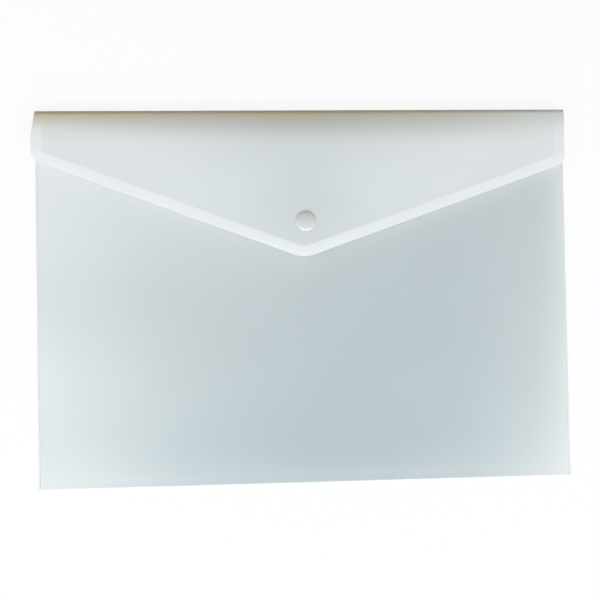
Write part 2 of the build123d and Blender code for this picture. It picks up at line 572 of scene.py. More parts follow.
@dataclass(frozen=True)
class Swell:
    """Room in the pocket, over which the front panel rises from the welds and the bottom fold; it also lays
    out painted light and shade on the panels.

    Attributes:
        margin: Flat edge beside a weld or the bottom fold.
        side_run: Width over which the panel rises from each side.
        foot_run: Length over which it rises from the bottom fold.
        softness: Share of a run in which the rise begins gently.
        left_reach: Length over which the panels part from each other at the left, and over which painted light
            reaches in.
        right_reach: Length over which they part at the right, and over which painted light reaches in.
        foot_reach: Length over which they part at the bottom fold, and over which painted light reaches in.
        left_corner: Lengths over which they part at the left bottom corner, across and along the wallet, and
            over which painted light reaches in.
        right_corner: The same at the right bottom corner.
        spring_run: Length above the bottom fold in which its spring holds the panels apart, with more painted
            shade at the sides.
        hang_run: Length above the bottom fold over which they come closer again, so that painted shade stays
            near the foot.
        belly_run: Half the length of the stretch, half-way up the sides, in which they part more, with painted
            shade.
        side_touch_and_painted_light: How closely they lie at the sides, with painted light, from 0 to 1.
        foot_touch_and_painted_light: How closely they lie at the bottom fold, with painted light.
        corner_touch_and_painted_light: How closely they lie at the left and the right bottom corner, with
            painted light.
        hang_touch_and_painted_light: How closely they lie in the middle, above the bottom fold's spring, with
            painted light.
        belly_share: Share by which they part more half-way up the sides, as painted shade.
        spring_share: Share by which they part more at the sides in the spring's reach, as painted shade.
        spring_short: Share by which the left reach is shorter there.
    """

    margin: float = 1.6
    side_run: float = 60.0
    foot_run: float = 80.0
    softness: float = 0.03
    left_reach: float = 116.0
    right_reach: float = 7.0
    foot_reach: float = 6.0
    left_corner: Pair = (69.0, 31.0)
    right_corner: Pair = (54.0, 166.0)
    spring_run: float = 50.0
    hang_run: float = 79.0
    belly_run: float = 35.0
    side_touch_and_painted_light: float = 0.97
    foot_touch_and_painted_light: float = 0.3
    corner_touch_and_painted_light: Pair = (0.87, 0.92)
    hang_touch_and_painted_light: float = 0.3
    belly_share: float = 0.26
    spring_share: float = 0.25
    spring_short: float = 0.45

    def rise(self, distance: Array, run: float) -> Array:
        """Rises from an edge's margin over a run as half a parabola, 1 - (1-t)², with a rounded start."""
        t = np.clip((distance - self.margin) / run, 0.0, 1.0)
        return 1.0 - (1.0 - soft_start(t, self.softness)) ** 2

    def share(self, plan: Plan, x: Array, y: Array) -> Array:
        """Gives the share of the room: the rise from the nearer side times the rise from the foot."""
        from_side = self.rise(plan.blank_half - np.abs(x), self.side_run)
        return from_side * self.rise(y - plan.crease_y, self.foot_run)

    def backing_and_painted_shade(self, plan: Plan, x: Array, y: Array) -> Array:
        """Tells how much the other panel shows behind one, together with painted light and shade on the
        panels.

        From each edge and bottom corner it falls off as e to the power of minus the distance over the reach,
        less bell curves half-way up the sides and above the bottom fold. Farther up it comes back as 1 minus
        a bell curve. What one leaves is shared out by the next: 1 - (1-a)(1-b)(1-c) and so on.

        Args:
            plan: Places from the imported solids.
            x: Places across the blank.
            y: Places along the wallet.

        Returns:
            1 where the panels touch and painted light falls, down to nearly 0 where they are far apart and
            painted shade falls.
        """
        # Painted light reaches far in from the left and only a little from the right; painted shade stays in
        # the middle and half-way up the sides, and is deeper a little above the bottom fold.
        from_left, from_right, upward = plan.blank_half + x, plan.blank_half - x, y - plan.crease_y
        spring = np.exp(-((upward / self.spring_run) ** 2))
        beside = self.side_touch_and_painted_light * (1.0 - self.belly_share * np.exp(-((y / self.belly_run) ** 2)))
        beside = beside * (1.0 - self.spring_share * spring)
        left = beside * np.exp(-from_left / (self.left_reach * (1.0 - self.spring_short * spring)))
        right = beside * np.exp(-from_right / self.right_reach)
        foot = self.foot_touch_and_painted_light * np.exp(-upward / self.foot_reach)
        left_end = np.exp(-from_left / self.left_corner[0] - upward / self.left_corner[1])
        right_end = np.exp(-from_right / self.right_corner[0] - upward / self.right_corner[1])
        hang = self.hang_touch_and_painted_light * (1.0 - np.exp(-((upward / self.hang_run) ** 2)))
        apart = (1.0 - left) * (1.0 - right) * (1.0 - foot) * (1.0 - hang)
        apart = apart * (1.0 - self.corner_touch_and_painted_light[0] * left_end) * (1.0 - self.corner_touch_and_painted_light[1] * right_end)
        return 1.0 - apart


@dataclass(frozen=True)
class CutEdge:
    """Cut edges of the sheet.

    Attributes:
        rounding: Rounding of the edges.
        steps: Faces across that rounding.
        degrees: Angle from which an edge is a cut one.
    """

    rounding: float = 0.07
    steps: int = 2
    degrees: float = 60.0

    def thicken(self, piece: bpy.types.Object, sheet: float) -> None:
        """Gives a surface the sheet's thickness on its inner side, with slightly rounded cut edges.

        Args:
            piece: Surface whose faces point outwards.
            sheet: Thickness of the sheet.
        """
        wall = piece.modifiers.new("sheet", "SOLIDIFY")
        wall.thickness = sheet * MM
        wall.offset = -1.0
        edge = piece.modifiers.new("cut_edge", "BEVEL")
        edge.limit_method = "ANGLE"
        edge.angle_limit = math.radians(self.degrees)
        edge.width = self.rounding * MM
        edge.segments = self.steps
        edge.harden_normals = True


@dataclass(frozen=True)
class FoldedSpacing:
    """Spacing of the rows and columns of the folded sheet.

    Attributes:
        columns: Columns in one half: at the point, along the slanting edge, beside the corner and round it.
        tip_reach: Half the width of the close columns at the point.
        side_reach: Distance from a side at which its close columns begin.
        back_rows: Rows on the back panel.
        fold_rows: Rows round the top fold.
        flap_rows: Rows on the roll, from there to the band, and at the band's step.
        roll_reach: Length of the level rows on the roll.
        band_lead: Distance from the band to the first row that follows it.
        step_reach: Half the length of the close rows at the band's step, in slopes of the band.
        band_insets: Distances from the slanting edge to the rows on the band.
    """

    columns: tuple[int, int, int, int] = (12, 52, 12, 13)
    tip_reach: float = 11.0
    side_reach: float = 9.0
    back_rows: int = 40
    fold_rows: int = 30
    flap_rows: tuple[int, int, int] = (12, 26, 9)
    roll_reach: float = 13.0
    band_lead: float = 2.4
    step_reach: float = 1.2
    band_insets: tuple[float, ...] = (4.4, 3.2, 2.0, 1.0, 0.4, 0.05)


@dataclass
class FoldedSheet:
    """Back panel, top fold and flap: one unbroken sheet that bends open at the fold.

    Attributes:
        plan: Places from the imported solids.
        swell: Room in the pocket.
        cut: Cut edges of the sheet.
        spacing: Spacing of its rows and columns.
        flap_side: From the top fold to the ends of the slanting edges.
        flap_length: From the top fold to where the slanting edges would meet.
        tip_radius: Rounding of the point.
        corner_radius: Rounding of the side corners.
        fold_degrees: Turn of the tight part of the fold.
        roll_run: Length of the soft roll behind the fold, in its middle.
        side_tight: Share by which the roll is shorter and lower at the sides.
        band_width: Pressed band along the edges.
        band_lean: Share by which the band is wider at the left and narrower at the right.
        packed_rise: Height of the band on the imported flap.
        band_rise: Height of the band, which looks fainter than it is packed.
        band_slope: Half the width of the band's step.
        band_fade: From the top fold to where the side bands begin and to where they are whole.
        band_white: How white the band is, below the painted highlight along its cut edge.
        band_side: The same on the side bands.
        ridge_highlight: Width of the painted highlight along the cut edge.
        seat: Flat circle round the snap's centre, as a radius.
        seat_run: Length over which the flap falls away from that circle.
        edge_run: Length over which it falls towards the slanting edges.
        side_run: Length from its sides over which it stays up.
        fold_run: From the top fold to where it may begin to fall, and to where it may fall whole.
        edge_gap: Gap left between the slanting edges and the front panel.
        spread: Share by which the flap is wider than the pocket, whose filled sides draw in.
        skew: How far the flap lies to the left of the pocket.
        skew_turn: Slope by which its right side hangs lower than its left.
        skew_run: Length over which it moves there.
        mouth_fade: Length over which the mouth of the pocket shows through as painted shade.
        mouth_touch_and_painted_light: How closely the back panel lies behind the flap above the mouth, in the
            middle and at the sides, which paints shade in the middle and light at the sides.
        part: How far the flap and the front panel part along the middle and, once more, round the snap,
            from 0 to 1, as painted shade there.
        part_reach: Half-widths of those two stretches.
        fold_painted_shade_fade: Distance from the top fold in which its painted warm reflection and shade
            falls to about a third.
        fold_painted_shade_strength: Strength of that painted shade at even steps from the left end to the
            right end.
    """

    plan: Plan
    swell: Swell
    cut: CutEdge = CutEdge()
    spacing: FoldedSpacing = FoldedSpacing()
    flap_side: float = 33.0
    flap_length: float = 93.6
    tip_radius: float = 18.0
    corner_radius: float = 7.0
    fold_degrees: float = 170.0
    roll_run: float = 18.97
    side_tight: float = 0.5
    band_width: float = 6.8
    band_lean: float = 0.05
    packed_rise: float = 0.15
    band_rise: float = 0.08
    band_slope: float = 0.9
    band_fade: Pair = (6.0, 18.0)
    band_white: float = 0.7
    band_side: float = 0.3
    ridge_highlight: float = 1.4
    seat: float = 10.0
    seat_run: float = 36.0
    edge_run: float = 50.0
    side_run: float = 70.0
    fold_run: Pair = (8.0, 30.0)
    edge_gap: float = 1.8
    spread: float = 0.005
    skew: float = 1.4
    skew_turn: float = 0.0133
    skew_run: float = 22.0
    mouth_fade: float = 16.0
    mouth_touch_and_painted_light: Pair = (0.5, 0.95)
    part: Pair = (0.1, 0.12)
    part_reach: Pair = (75.0, 34.0)
    fold_painted_shade_fade: float = 7.0
    fold_painted_shade_strength: tuple[float, ...] = (1.0, 0.86, 0.95, 0.73, 0.25)

    def __post_init__(self) -> None:
        """Works out the flap's outline from its sizes."""
        self.top_y = self.plan.fold_y + self.plan.fold_z
        self.tip_y = self.top_y - self.flap_length
        self.slope = (self.flap_length - self.flap_side) / self.plan.blank_half
        self.stretch = math.hypot(1.0, self.slope)
        self.corner_x = self.plan.blank_half - self.corner_radius
        self.corner_y = self.tip_y + self.slope * self.corner_x + self.corner_radius * self.stretch
        self.tip_centre_y = self.tip_y + self.tip_radius * self.stretch
        turn = math.radians(self.fold_degrees)
        self.root_y = self.plan.fold_y + self.plan.fold_z * math.sin(turn)
        self.root_z = self.plan.fold_z * (1.0 - math.cos(turn))
        self.flap_top = self.plan.band_top - self.packed_rise

    def columns(self) -> Array:
        """Spaces the columns across the sheet, close at the point and round the side corners.

        Returns:
            Places across the blank, as one row from right to left, so that faces point outwards.
        """
        half, spacing = self.plan.blank_half, self.spacing
        at_tip, at_edge, at_side, at_corner = spacing.columns
        arc = np.linspace(math.pi / 2 - math.atan(self.slope), 0.0, at_corner)
        corner = half - self.corner_radius * (1.0 - np.cos(arc))
        centre = np.linspace(0.0, spacing.tip_reach, at_tip)
        middle = np.linspace(centre[-1], half - spacing.side_reach, at_edge)
        beside = np.linspace(middle[-1], corner[0], at_side)
        right = np.concatenate((centre, middle[1:], beside[1:], corner[1:]))
        return np.concatenate((right[::-1], -right[1:]))[None, :]

    def outline(self, x: Array) -> Array:
        """Gives the flap's free edge: slanting lines joined by an arc at the point and ended by corner arcs.

        Args:
            x: Places across the blank.

        Returns:
            Where the edge lies along the wallet.
        """
        a = np.abs(x)
        line = self.tip_y + self.slope * a
        tip = self.tip_centre_y - np.sqrt(np.maximum(self.tip_radius**2 - a**2, 0.0))
        corner_across = np.clip(a - self.corner_x, 0.0, self.corner_radius)
        corner = self.corner_y - np.sqrt(self.corner_radius**2 - corner_across**2)
        tip_end = self.tip_radius * self.slope / self.stretch
        corner_start = self.corner_x + self.corner_radius * self.slope / self.stretch
        return np.where(a < tip_end, tip, np.where(a > corner_start, corner, line))

    def lie(self, x: Array, y: Array, outer: Array) -> tuple[Array, Array]:
        """Lays points past the fold's crest, where outer is 1, to the left, wider and turned, eased in."""
        share = outer * smoothstep((self.top_y - y) / self.skew_run)
        return x + (self.spread * x - self.skew) * share, y - self.skew_turn * x * share

    def over_front(self, x: Array, y: Array) -> Array:
        """Measures how far points of the front panel lie below the slanting edge, negative above it."""
        return (self.outline(x + self.skew) - self.skew_turn * x - y) / self.stretch

    def edge_distance(self, x: Array, y: Array) -> Array:
        """Measures how far points of the flap lie from its rounded outline.

        Args:
            x: Places across the blank.
            y: Places along the wallet.

        Returns:
            Distances from the nearest side, slanting edge or arc.
        """
        a = np.abs(x)
        straight = np.minimum(self.plan.blank_half - a, (y - self.tip_y - self.slope * a) / self.stretch)
        corner_dx, corner_dy = a - self.corner_x, self.corner_y - y
        in_corner = (corner_dy >= 0.0) & (corner_dx >= corner_dy * self.slope)
        tip_dy = self.tip_centre_y - y
        in_tip = (tip_dy >= 0.0) & (a <= tip_dy * self.slope)
        corner = self.corner_radius - np.hypot(corner_dx, corner_dy)
        tip = self.tip_radius - np.hypot(a, tip_dy)
        return np.where(in_corner, corner, np.where(in_tip, tip, straight))

    def flap_height(self, x: Array, y: Array) -> Array:
        """Gives the flap's outer face: an arc down to the fold and a flat that falls to the slanting edges.

        The arc keeps its slope at the fold and shrinks with the square of the distance from the middle. The
        fall is the height of the flat above the front panel, times four eased shares: of the nearness to the
        slanting edge and of the distances from the snap, the top fold and the sides.

        Args:
            x: Places across the blank.
            y: Places along the wallet.

        Returns:
            Heights above the table.
        """
        size = 1.0 - self.side_tight * (x / self.plan.blank_half) ** 2
        run, rise = self.roll_run * size, (self.flap_top - self.root_z) * size
        radius = (run**2 + rise**2) / (2.0 * rise)
        roll = np.clip(y - self.root_y + run, 0.0, None)
        height = self.root_z + rise - radius + np.sqrt(radius**2 - roll**2)
        from_edge = (y - self.tip_y - self.slope * np.abs(x)) / self.stretch
        from_snap = np.hypot(x, y - self.plan.snap_y) - self.seat
        from_fold = self.top_y - y - self.fold_run[0]
        laid = 1.0 - smoothstep(from_edge / self.edge_run)
        laid = laid * smoothstep(from_snap / self.seat_run)
        laid = laid * smoothstep(from_fold / (self.fold_run[1] - self.fold_run[0]))
        laid = laid * smoothstep((self.plan.blank_half - np.abs(x)) / self.side_run)
        return height - laid * (height - self.plan.front_top - self.plan.sheet - self.edge_gap)

    def lean(self, x: Array) -> Array:
        """Gives the band's width across the flap, as shares of its mean width."""
        return 1.0 - self.band_lean * x / self.plan.blank_half

    def flap_rows(self, x: Array) -> Array:
        """Lays the flap's rows: level ones on the roll, then rows that turn into the slanting edge.

        The last rows keep fixed distances from the edge, close together at the band's step.

        Args:
            x: Places across the blank, as one row.

        Returns:
            Places along the wallet, as rows and columns.
        """
        spacing = self.spacing
        on_roll, to_band, on_step = spacing.flap_rows
        roll = self.root_y - np.linspace(0.0, spacing.roll_reach, on_roll)[1:, None] + np.zeros_like(x)
        by_step = np.linspace(spacing.step_reach, -spacing.step_reach, on_step)
        step = self.band_width + self.band_slope * by_step
        inset = np.concatenate(((self.band_width + spacing.band_lead,), step, spacing.band_insets, (0.0,)))
        band = self.outline(x) + inset[:, None] * self.stretch * self.lean(x)
        share = np.linspace(0.0, 1.0, to_band)[1:-1, None]
        middle = roll[-1:] + (band[:1] - roll[-1:]) * share
        return np.concatenate((roll, middle, band))

    def pressed_and_highlight(self, x: Array, y: Array) -> tuple[Array, Array]:
        """Gives the flap's band with its painted highlight: an eased step at a fixed distance from the cut
        edge.

        Its whiteness is lower on the side bands, and a painted highlight falls off from the slanting cut edges
        as e to the power of minus the distance over the highlight's width.

        Args:
            x: Places across the blank.
            y: Places along the wallet.

        Returns:
            How far points lie up the step and how white they are with the painted highlight, both from 0 to 1.
        """
        inset = self.edge_distance(x, y) / self.lean(x)
        begin, whole = self.band_fade
        fade = smoothstep((self.top_y - y - begin) / (whole - begin))
        band = ease_across(self.band_width - inset, 2.0 * self.band_slope) * fade
        beside = ease_across(y - self.corner_y, self.corner_radius)
        white = self.band_white + (self.band_side - self.band_white) * beside
        # Painted highlight along the slanting cut edges.
        white = white + (1.0 - white) * (1.0 - beside) * np.exp(-inset / self.ridge_highlight)
        return band, band * white

    def cover_and_painted_shade(self, x: Array, y: Array) -> Array:
        """Tells how closely the front panel lies behind the flap, as painted shade along the middle and round
        the snap.

        It is 1 less a bell curve across the wallet and another one round the snap.

        Args:
            x: Places across the blank.
            y: Places along the wallet.

        Returns:
            1 where the layers touch, and less where they part and painted shade falls.
        """
        across = (x / self.part_reach[0]) ** 2
        around = (x**2 + (y - self.plan.snap_y) ** 2) / self.part_reach[1] ** 2
        return 1.0 - self.part[0] * np.exp(-across) - self.part[1] * np.exp(-around)

    def behind(self, x: Array, back_y: Array, fold_y: Array, flap_y: Array) -> Array:
        """Tells how closely the next layer lies behind the sheet, eased at the mouth from one to the other,
        with painted light and shade.

        Args:
            x: Places across the blank, as one row.
            back_y: Rows of the back panel.
            fold_y: Rows of the top fold.
            flap_y: Rows of the flap.

        Returns:
            1 where the layers touch and painted light falls, and less where they part and painted shade falls,
            for all the rows.
        """
        above = np.interp(np.abs(x), (0.0, self.plan.blank_half), self.mouth_touch_and_painted_light)
        below_mouth = ease_across(self.plan.mouth_y - flap_y, self.mouth_fade)
        flap = above + (self.cover_and_painted_shade(x, flap_y) - above) * below_mouth
        return np.concatenate((self.swell.backing_and_painted_shade(self.plan, x, back_y), above + 0.0 * fold_y, flap))

    def fold_painted_shade_share(self, x: Array, y: Array, z: Array) -> Array:
        """Tells how much painted warm reflection and shade shows at the fold, on the upper side of the fold
        only.

        It falls off from the fold as e to the power of minus the distance over the fade.

        Args:
            x: Places across the blank, as one row.
            y: Places along the wallet.
            z: Heights above the table.

        Returns:
            Shares of the painted warm reflection and shade.
        """
        half = self.plan.blank_half
        tint = np.interp(x, np.linspace(-half, half, len(self.fold_painted_shade_strength)), self.fold_painted_shade_strength)
        upper = ease_across(z - self.plan.fold_z, self.plan.fold_z)
        return tint * upper * np.exp((y - self.top_y) / self.fold_painted_shade_fade)

    def build(self) -> bpy.types.Object:
        """Carries the sheet from the bottom fold along the back, round the top fold and down the flap.

        Returns:
            The sheet, bent by the hinge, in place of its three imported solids.
        """
        plan, x = self.plan, self.columns()
        level = np.zeros_like(x)
        upward = np.linspace(0.0, 1.0, self.spacing.back_rows)[:, None]
        back_y = plan.crease_y + (plan.fold_y - plan.crease_y) * upward + level
        bend = np.linspace(0.0, 1.0, self.spacing.fold_rows)[1:, None] + level
        angle = math.radians(self.fold_degrees) * bend
        fold_y = plan.fold_y + plan.fold_z * np.sin(angle)
        fold_z = plan.fold_z * (1.0 - np.cos(angle))
        flap_y = self.flap_rows(x)
        band, white = self.pressed_and_highlight(x, flap_y)
        flap_z = self.flap_height(x, flap_y) + self.band_rise * band
        on_back, on_fold, on_flap = np.zeros_like(back_y), np.zeros_like(fold_y), np.ones_like(flap_y)
        y = np.concatenate((back_y, fold_y, flap_y))
        z = np.concatenate((on_back, fold_z, flap_z))
        outer = np.concatenate((on_back, angle > math.pi / 2, on_flap))
        grid = np.stack((*self.lie(x, y, outer), z), axis=-1)
        piece = sheet_object("back_fold_and_flap", grid, x, 1.0)
        set_points(piece, BAND_AND_HIGHLIGHT, np.concatenate((on_back, on_fold, white)))
        set_points(piece, LAYER_AND_PAINTED_SHADE, self.behind(x, back_y, fold_y, flap_y))
        set_points(piece, FOLD_PAINTED_SHADE, self.fold_painted_shade_share(x, y, z))
        self.cut.thicken(piece, plan.sheet)
        start, end = (0.0, plan.fold_y * MM, 0.0), (0.0, plan.fold_y * MM, self.root_z * MM)
        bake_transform(piece, Body.POCKET.value, Body.FLAP.value, start=start, end=end)
        set_points(piece, BEND, np.concatenate((on_back, bend, on_flap)))
        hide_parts("back_panel", "top_fold", "flap_panel")
        return piece


@dataclass(frozen=True)
class Wave:
    """A slow sine wave in the sheet.

    Attributes:
        across: Length across the wallet in which the wave turns by one radian.
        along: The same along the wallet.
        phase: Its turn in the middle of the wallet, in radians.
    """

    across: float
    along: float
    phase: float = 0.0

    def at(self, x: Array, y: Array) -> Array:
        """Gives the sine of x and y, each over its length, plus the phase."""
        return np.sin(x / self.across + y / self.along + self.phase)


@dataclass(frozen=True)
class PanelSpacing:
    """Spacing of the rows and columns of the front panel.

    Attributes:
        columns: Columns in one half: in the middle, on the rise from the side and on the flat edge.
        side_power: Power by which those on the rise draw closer towards the side.
        crease_rows: Rows round the bottom fold.
        front_rows: Rows on the rise from the bottom fold and from there to the mouth.
        foot_power: Power by which those on the rise draw closer towards the fold.
    """

    columns: tuple[int, int, int] = (30, 40, 4)
    side_power: float = 1.4
    crease_rows: int = 13
    front_rows: tuple[int, int] = (34, 66)
    foot_power: float = 1.3


@dataclass
class PocketFront:
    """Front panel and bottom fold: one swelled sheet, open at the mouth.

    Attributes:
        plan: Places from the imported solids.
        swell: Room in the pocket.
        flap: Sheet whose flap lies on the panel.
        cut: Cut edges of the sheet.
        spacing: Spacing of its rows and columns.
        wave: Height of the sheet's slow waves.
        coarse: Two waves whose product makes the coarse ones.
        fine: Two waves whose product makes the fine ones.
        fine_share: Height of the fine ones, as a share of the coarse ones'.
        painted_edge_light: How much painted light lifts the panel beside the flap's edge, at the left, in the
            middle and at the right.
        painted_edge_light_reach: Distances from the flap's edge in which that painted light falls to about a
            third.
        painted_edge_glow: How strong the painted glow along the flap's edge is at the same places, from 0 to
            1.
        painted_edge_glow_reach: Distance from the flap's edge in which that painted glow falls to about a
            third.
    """

    plan: Plan
    swell: Swell
    flap: FoldedSheet
    cut: CutEdge = CutEdge()
    spacing: PanelSpacing = PanelSpacing()
    wave: float = 0.12
    coarse: tuple[Wave, Wave] = (Wave(23.0, 61.0, 0.6), Wave(-90.0, 31.0, 1.1))
    fine: tuple[Wave, Wave] = (Wave(13.0, -27.0), Wave(45.0, 17.0, 2.0))
    fine_share: float = 0.6
    painted_edge_light: tuple[float, float, float] = (1.0, 0.25, 0.38)
    painted_edge_light_reach: tuple[float, float, float] = (48.0, 22.0, 6.0)
    painted_edge_glow: tuple[float, float, float] = (0.5, 0.15, 0.4)
    painted_edge_glow_reach: float = 3.0

    def columns(self) -> Array:
        """Spaces the columns across the panel, closer where it rises.

        Returns:
            Places across the blank, as one row from left to right.
        """
        half = self.plan.blank_half
        edge, run = half - self.swell.margin, self.swell.side_run
        in_middle, on_rise, on_margin = self.spacing.columns
        flat = np.linspace(0.0, edge - run, in_middle)
        rise = edge - run * np.linspace(1.0, 0.0, on_rise) ** self.spacing.side_power
        margin = np.linspace(edge, half, on_margin)
        right = np.concatenate((flat, rise[1:], margin[1:]))
        return np.concatenate((-right[:0:-1], right))[None, :]

    def rows(self) -> Array:
        """Spaces the rows up the panel, closer where it rises from the bottom fold.

        Returns:
            Places along the wallet, as one column from the bottom fold to the mouth.
        """
        on_rise, to_mouth = self.spacing.front_rows
        share = np.linspace(0.0, 1.0, on_rise) ** self.spacing.foot_power
        foot = (self.swell.margin + self.swell.foot_run) * share
        rest = np.linspace(foot[-1], self.plan.mouth_y - self.plan.crease_y, to_mouth)
        return self.plan.crease_y + np.concatenate((foot, rest[1:]))[:, None]

    def height(self, x: Array, y: Array) -> Array:
        """Gives the outer face: the flat margin plus the room in the pocket, with waves that grow with it.

        The waves are two products of sines, one about twice as fine as the other.

        Args:
            x: Places across the blank.
            y: Places along the wallet.

        Returns:
            Heights above the table.
        """
        plan = self.plan
        coarse = self.coarse[0].at(x, y) * self.coarse[1].at(x, y)
        fine = self.fine[0].at(x, y) * self.fine[1].at(x, y)
        room = plan.front_top - plan.margin_top + self.wave * (coarse + self.fine_share * fine)
        return plan.margin_top + room * self.swell.share(plan, x, y)

    def build(self) -> bpy.types.Object:
        """Carries the sheet round the bottom fold and up to the mouth.

        Returns:
            The panel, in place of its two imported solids.
        """
        plan, x = self.plan, self.columns()
        level = np.zeros_like(x)
        angle = np.linspace(0.0, math.pi, self.spacing.crease_rows)[:-1, None] + level
        crease_y = plan.crease_y - plan.crease_radius * np.sin(angle)
        crease_z = plan.crease_radius * (1.0 - np.cos(angle))
        front_y = self.rows() + level
        y = np.concatenate((crease_y, front_y))
        z = np.concatenate((crease_z, self.height(x, front_y)))
        piece = sheet_object("front_and_bottom_fold", np.stack((x + 0.0 * y, y, z), axis=-1), x, -1.0)
        ends = (-plan.blank_half, 0.0, plan.blank_half)
        # Painted light beside the flap's edge, which lifts the layer attribute, and a painted glow right at
        # the edge, on both sides of it.
        painted_edge_light, reach, painted_edge_glow = (np.interp(x, ends, shares) for shares in (self.painted_edge_light, self.painted_edge_light_reach, self.painted_edge_glow))
        from_edge = np.abs(self.flap.over_front(x, front_y))
        parted_and_shaded = (1.0 - self.swell.backing_and_painted_shade(plan, x, front_y)) * (1.0 - painted_edge_light * np.exp(-from_edge / reach))
        painted_glow = painted_edge_glow * np.exp(-from_edge / self.painted_edge_glow_reach)
        set_points(piece, BAND_AND_HIGHLIGHT, np.concatenate((np.zeros_like(crease_y), painted_glow)))
        set_points(piece, LAYER_AND_PAINTED_SHADE, np.concatenate((np.ones_like(crease_y), 1.0 - parted_and_shaded)))
        set_points(piece, FOLD_PAINTED_SHADE, np.zeros_like(y))
        self.cut.thicken(piece, plan.sheet)
        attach(piece, Body.POCKET.value)
        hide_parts("front_panel", "bottom_fold")
        return piece


@dataclass
class SideWelds:
    """Melted beads along both sides of the pocket.

    Attributes:
        ripple_share: Unevenness of a bead, as a share of its width.
        ripple_turns: Radians in a millimetre of the fine and of the slow ripples.
        slow_share: Height of the slow ripples, as a share of the fine ones'.
        phases: Start of the ripples on the left and on the right bead, in radians.
        rows: Rows along a bead.
        sides: Sides of its section.
        sharp_degrees: Angle from which an edge is sharp.
    """

    ripple_share: float = 0.07
    ripple_turns: Pair = (2.1, 0.83)
    slow_share: float = 0.7
    phases: Pair = (0.4, 1.9)
    rows: int = 260
    sides: int = 24
    sharp_degrees: float = 50.0

    def bead(self, name: str, node: str, phase: float) -> bpy.types.Object:
        """Carries a rounded square section along one side, closed at both ends.

        Each coordinate of the section is the root of the cosine or sine, with its sign, which squares a
        circle. Its size follows the sum of a fine and a slow sine, the slow one at twice the phase.

        Args:
            name: Name of the piece.
            node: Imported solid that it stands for.
            phase: Start of the ripples.

        Returns:
            The bead.
        """
        low, high = node_box(node)
        middle, half = (low + high) / 2, (high - low) / 2
        run = np.concatenate(((0.0,), np.linspace(0.0, 1.0, self.rows), (1.0,)))[:, None]
        along = low[1] + (high[1] - low[1]) * run
        turn = np.linspace(0.0, 2.0 * math.pi, self.sides + 1)[None, :]
        circle = (np.cos(turn), np.sin(turn))
        square_x, square_z = (np.sign(part) * np.sqrt(np.abs(part)) for part in circle)
        fine, slow = self.ripple_turns
        wave = np.sin(along * fine + phase) + self.slow_share * np.sin(along * slow + 2.0 * phase)
        size = 1.0 - self.ripple_share * (1.0 + wave / (1.0 + self.slow_share))
        size[[0, -1]] = 0.0
        x = middle[0] + half[0] * size * square_x
        z = middle[2] + half[2] * size * square_z
        piece = grid_object(name, np.stack((x, along + 0.0 * turn, z), axis=-1))
        close_surface(piece, self.sharp_degrees)
        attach(piece, Body.POCKET.value)
        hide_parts(node)
        return piece

    def build(self) -> list[bpy.types.Object]:
        """Makes both beads and returns them."""
        left, right = self.phases
        return [self.bead("left_bead", "left_weld", left), self.bead("right_bead", "right_weld", right)]


def rounded_corners(points: list[Pair], cuts: tuple[float, ...], closed: bool, steps: int = 6) -> Array:
    """Rounds the corners of a profile with parabolas, from a cut length before each to as much after it.

    Args:
        points: Corners as radius and height.
        cuts: Cut length of each corner; zero keeps it.
        closed: Whether the last corner joins the first.
        steps: Points on each parabola.

    Returns:
        The profile's points.
    """
    corner = np.array(points, dtype=float)
    cut = np.array(cuts, dtype=float)[:, None]
    before, after = np.roll(corner, 1, axis=0) - corner, np.roll(corner, -1, axis=0) - corner
    start = corner + before / np.linalg.norm(before, axis=1, keepdims=True) * cut
    end = corner + after / np.linalg.norm(after, axis=1, keepdims=True) * cut
    t = np.linspace(0.0, 1.0, steps)[None, :, None]
    curve = (1 - t) ** 2 * start[:, None] + 2 * t * (1 - t) * corner[:, None] + t**2 * end[:, None]
    line = curve.reshape(-1, 2)
    return np.concatenate((line, line[:1])) if closed else line


